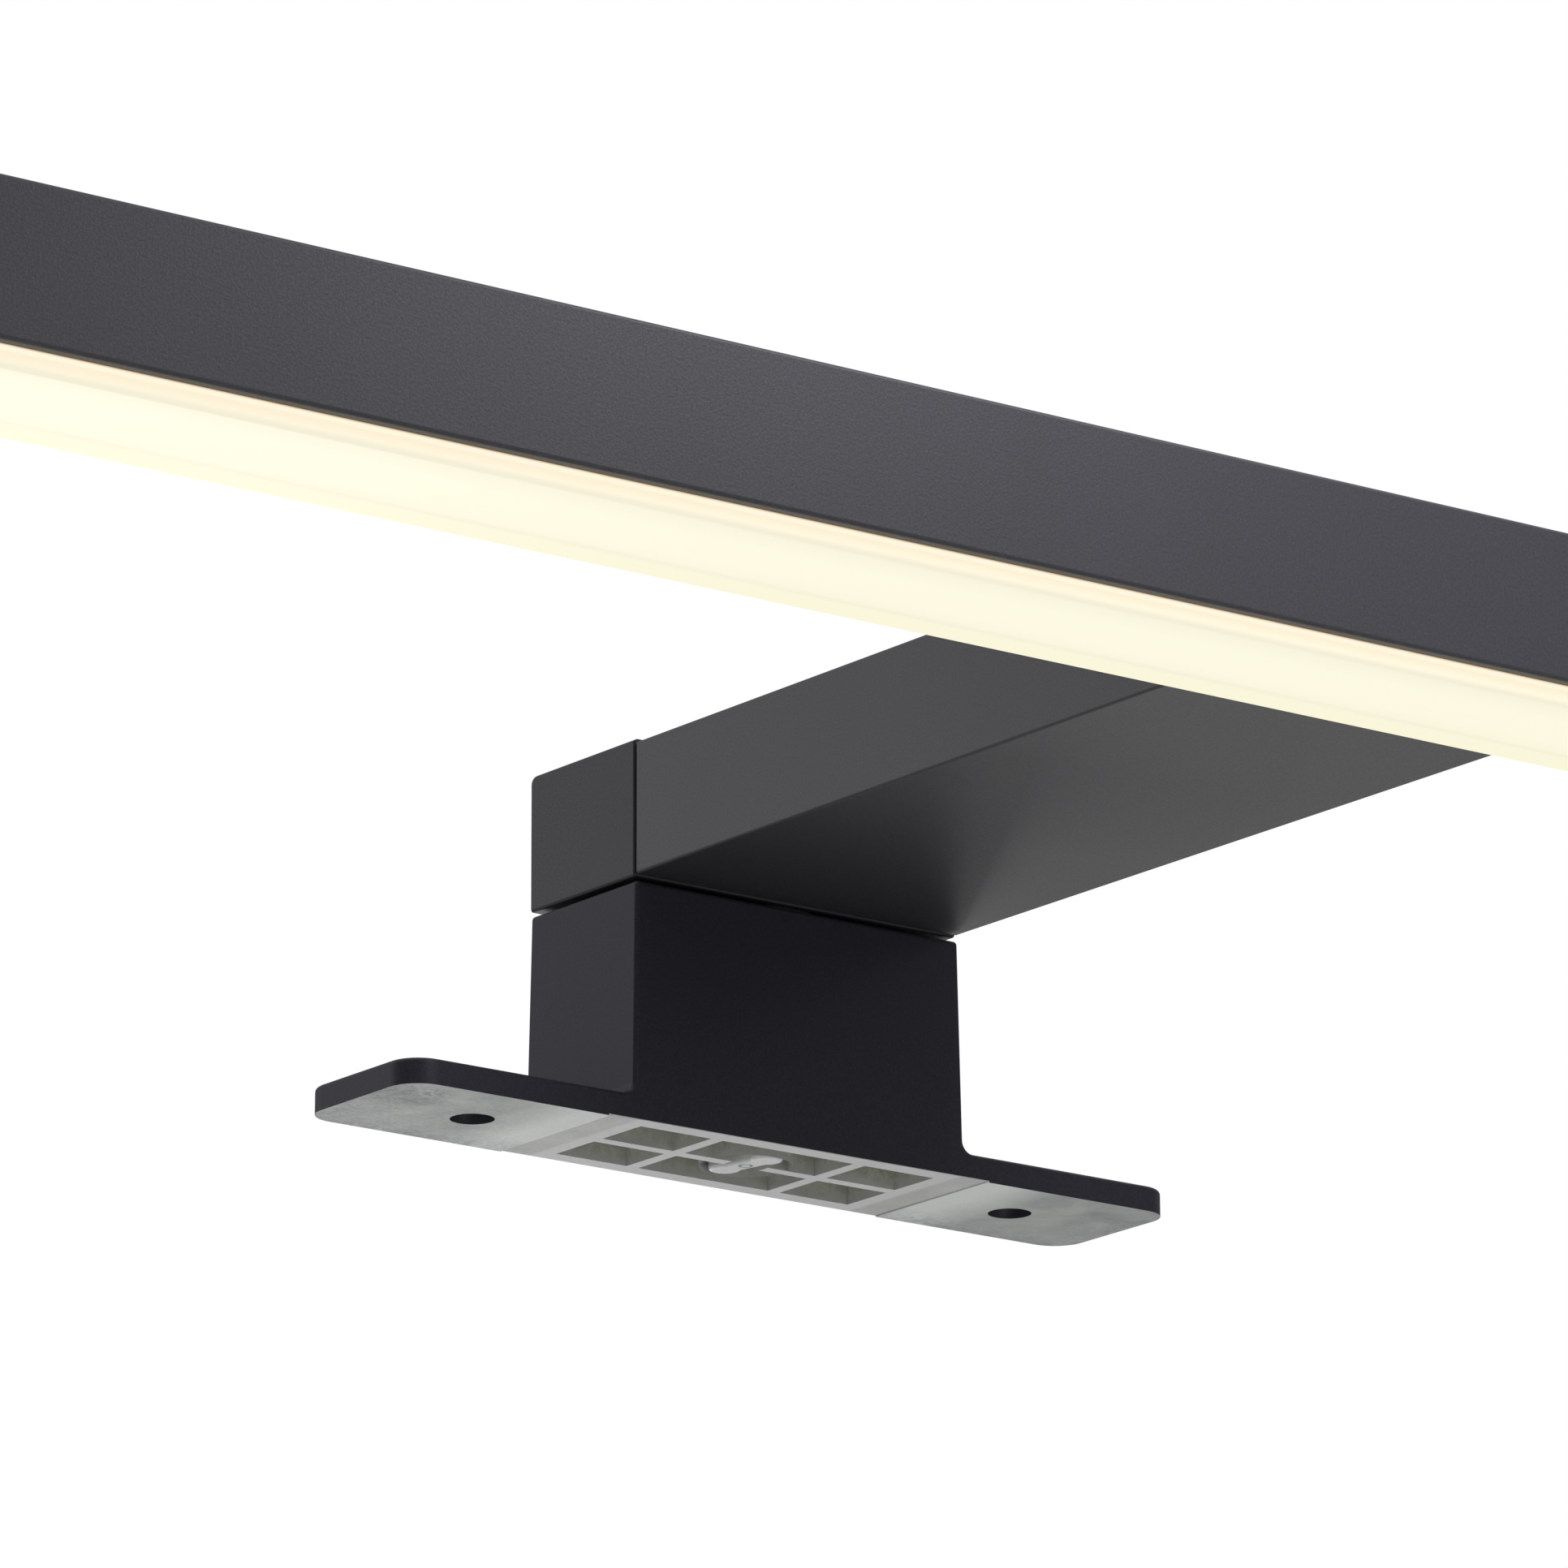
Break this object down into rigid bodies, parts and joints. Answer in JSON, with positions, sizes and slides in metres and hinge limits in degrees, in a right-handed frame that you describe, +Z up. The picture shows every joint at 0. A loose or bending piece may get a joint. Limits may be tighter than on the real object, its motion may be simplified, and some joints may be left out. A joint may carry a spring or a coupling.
{
  "type": "vanity light bar",
  "caption": "Slim black LED light bar on a flat arm that turns on a T-shaped foot, for the top of a mirror cabinet, with an opal diffuser facing down.",
  "frame": {"origin": "middle of the foot's underside, halfway between its two fixing holes", "axes": "+X along the light bar, +Y to the rear (towards the mirror), -Y to the front where the bar is, +Z up"},
  "size_m": [0.6, 0.1145, 0.0351],
  "materials": {
    "foot_coat": "fine matt black powder coat on a zinc die casting, raw zinc underneath",
    "head_coat": "fine matt black powder coat",
    "arm_coat": "fine matt black powder coat on an aluminium tube",
    "bar_coat": "fine matt black powder coat on an aluminium profile",
    "opal": "satin opal acrylic, lit warm white from inside",
    "zinc_screw": "bright zinc plated steel",
    "dark_screw": "black oxide steel",
    "black_plastic": "moulded black plastic",
    "black_rubber": "soft black rubber",
    "seal_rubber": "grey silicone",
    "nylon": "black nylon",
    "tape": "white thermal tape",
    "board_white": "aluminium circuit board with white solder mask",
    "led_package": "white light packages with yellow phosphor",
    "clear_film": "translucent insulating film",
    "foam": "grey closed-cell foam",
    "board_green": "green fibreglass circuit board",
    "terminal_green": "green moulded terminal",
    "brass": "plain brass",
    "fuse_body": "ceramic tube with tinned ends",
    "capacitor_yellow": "yellow moulded box",
    "capacitor_can": "dark sleeved can",
    "ferrite": "dark grey ferrite",
    "winding_tape": "yellow polyester tape over copper wire",
    "chip_black": "black epoxy",
    "connector_white": "white moulded connector",
    "lead_sleeve": "insulated copper wire"
  },
  "bodies": {
    "foot": {"foot_casting": "foot_coat", "friction_washer": "nylon", "pivot_bolt": "zinc_screw", "pivot_nut": "zinc_screw"},
    "head": {"spring_washer": "zinc_screw", "head_block": "head_coat", "rear_cover": "black_plastic", "rear_cover_screw": "dark_screw", "cord_grommet": "black_rubber", "arm_tube": "arm_coat", "tie_screws": "zinc_screw", "clamp_plate": "zinc_screw", "bar_profile": "bar_coat", "diffuser": "opal", "thermal_tape": "tape", "led_board": "board_white", "leds": "led_package", "driver_sleeve": "clear_film", "driver_pad": "foam", "driver_board": "board_green", "input_terminal": "terminal_green", "terminal_screws": "brass", "input_fuse": "fuse_body", "filter_capacitor": "capacitor_yellow", "filter_choke": "ferrite", "rectifier": "chip_black", "controller": "chip_black", "driver_capacitors": "capacitor_can", "transformer_core": "ferrite", "transformer_winding": "winding_tape", "output_connector": "connector_white", "output_leads": "lead_sleeve", "lead_grommet": "black_rubber", "end_cap_left": "bar_coat", "end_cap_right": "bar_coat", "end_seal_left": "seal_rubber", "end_seal_right": "seal_rubber", "end_cap_screws": "dark_screw"}
  },
  "joints": [
    {"name": "head_swivel", "type": "hinge", "parent": "foot", "child": "head", "pos_m": [0, 0, 0.022], "axis": [0, 0, 1], "range_deg": [-90, 90]}
  ]
}
